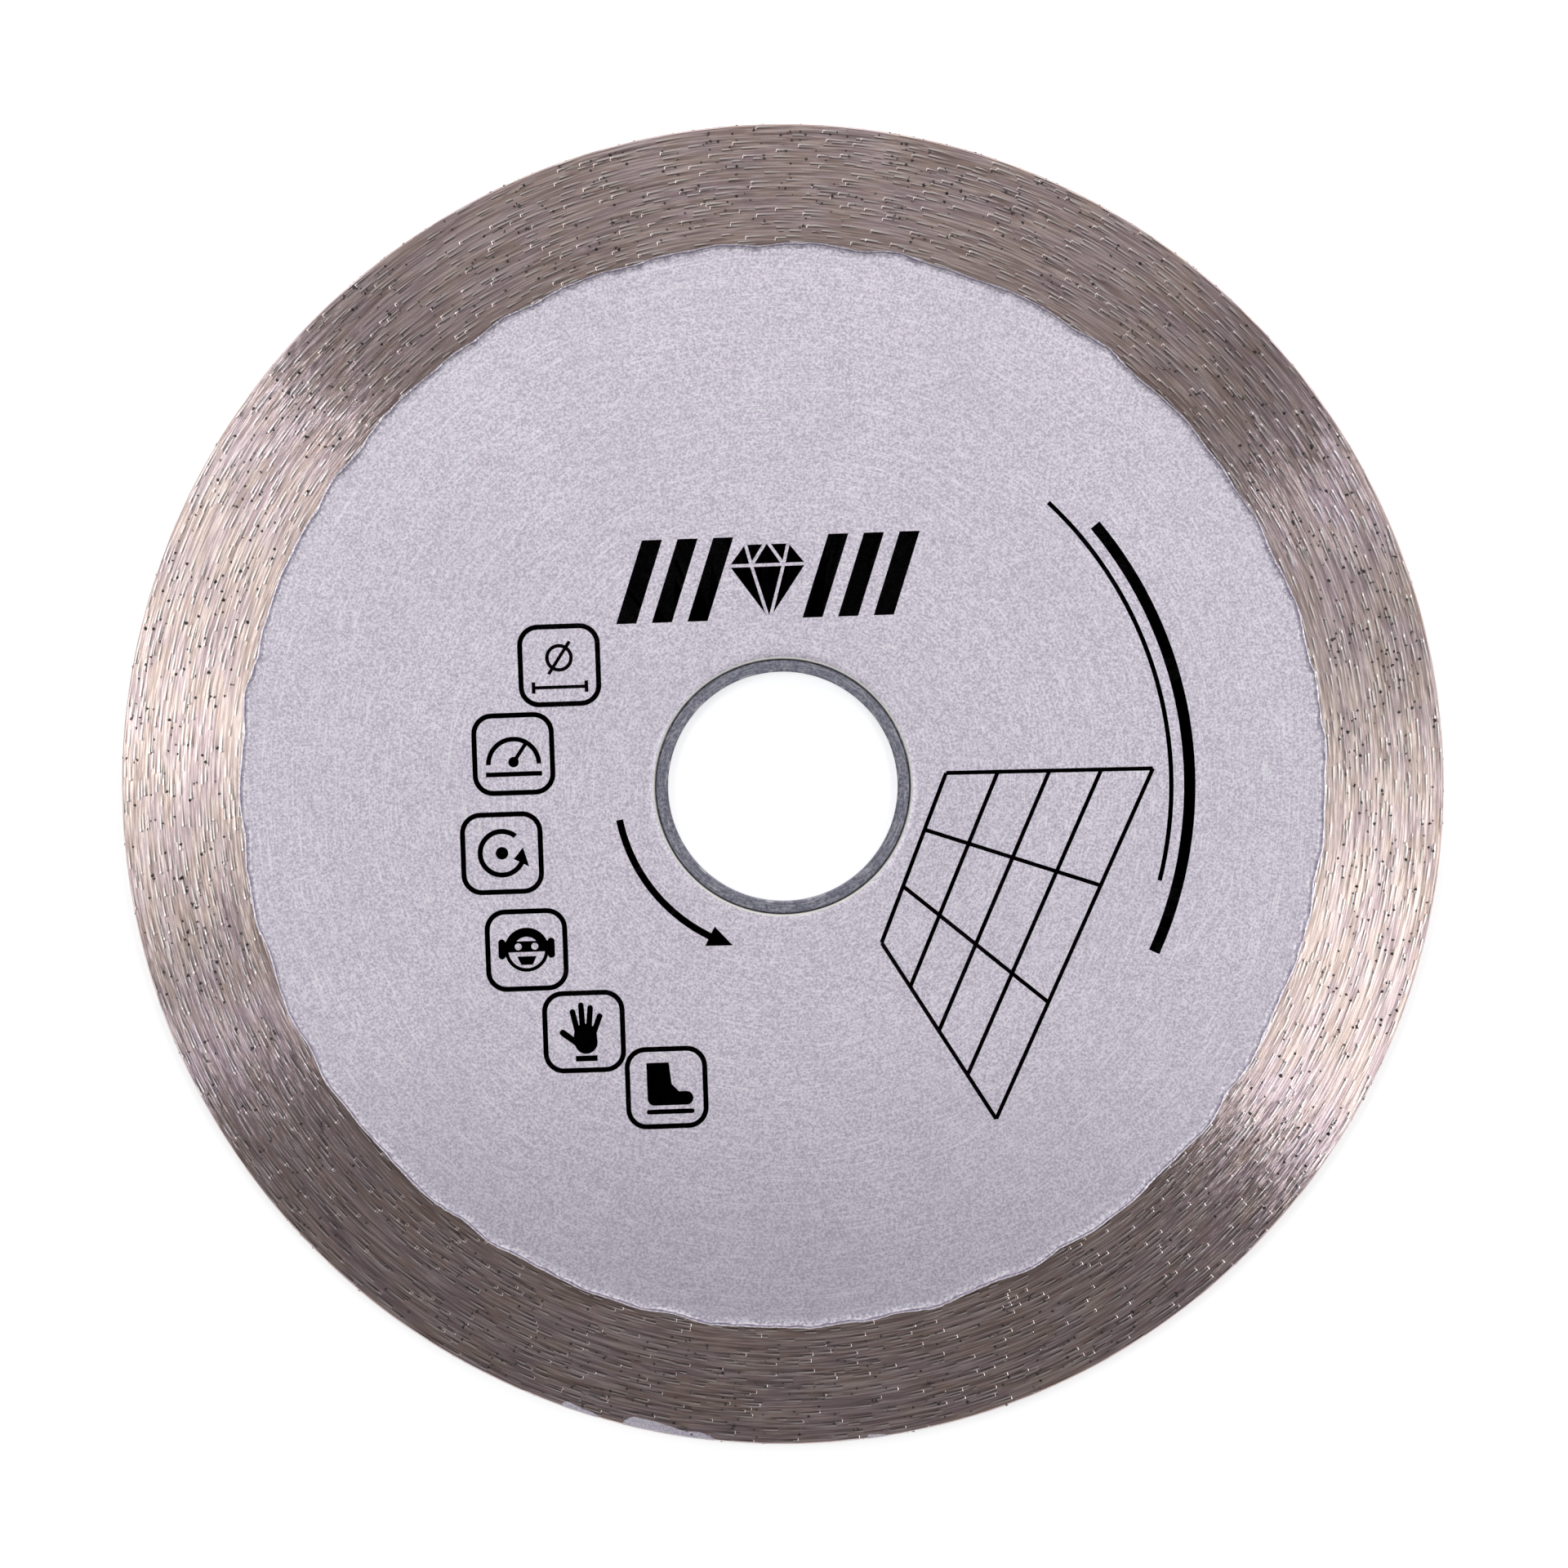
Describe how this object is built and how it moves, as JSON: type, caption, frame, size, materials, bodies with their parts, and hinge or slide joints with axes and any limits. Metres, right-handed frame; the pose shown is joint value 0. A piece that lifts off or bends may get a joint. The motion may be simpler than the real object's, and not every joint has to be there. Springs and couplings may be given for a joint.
{
  "type": "continuous rim diamond blade",
  "caption": "Thin round cutting disc with a continuous ground diamond rim, a silver painted steel core with black printed marks, and a loose reducing ring in its bore.",
  "frame": {"origin": "on the blade's axis, in the bore, halfway through the thickness of the steel core", "axes": "+Z along the blade's axis, out of the printed side; +Y towards the emblem, +X towards the arc stripes"},
  "size_m": [0.115, 0.115, 0.0022],
  "materials": {
    "core_steel": "satin",
    "backing_bond": "satin",
    "diamond_bond": "satin",
    "diamond": "gloss",
    "ring_steel": "satin",
    "silver_paint": "satin",
    "black_ink": "satin"
  },
  "bodies": {
    "blade": {"steel_core": "core_steel", "bond_backing_ring": "backing_bond", "diamond_rim": "diamond_bond", "diamond_grit": "diamond", "front_paint": "silver_paint", "back_paint": "silver_paint", "pictogram_diameter": "black_ink", "pictogram_speed": "black_ink", "pictogram_turning": "black_ink", "pictogram_goggles": "black_ink", "pictogram_gloves": "black_ink", "pictogram_boots": "black_ink", "rotation_arrow": "black_ink", "emblem": "black_ink", "arc_stripes": "black_ink", "tile_drawing": "black_ink"},
    "reducing_ring": {"reducing_ring": "ring_steel"}
  },
  "joints": [
    {"name": "ring_slide", "type": "slide", "parent": "blade", "child": "reducing_ring", "axis": [0, 0, 1], "range_m": [0, 0.008]}
  ]
}
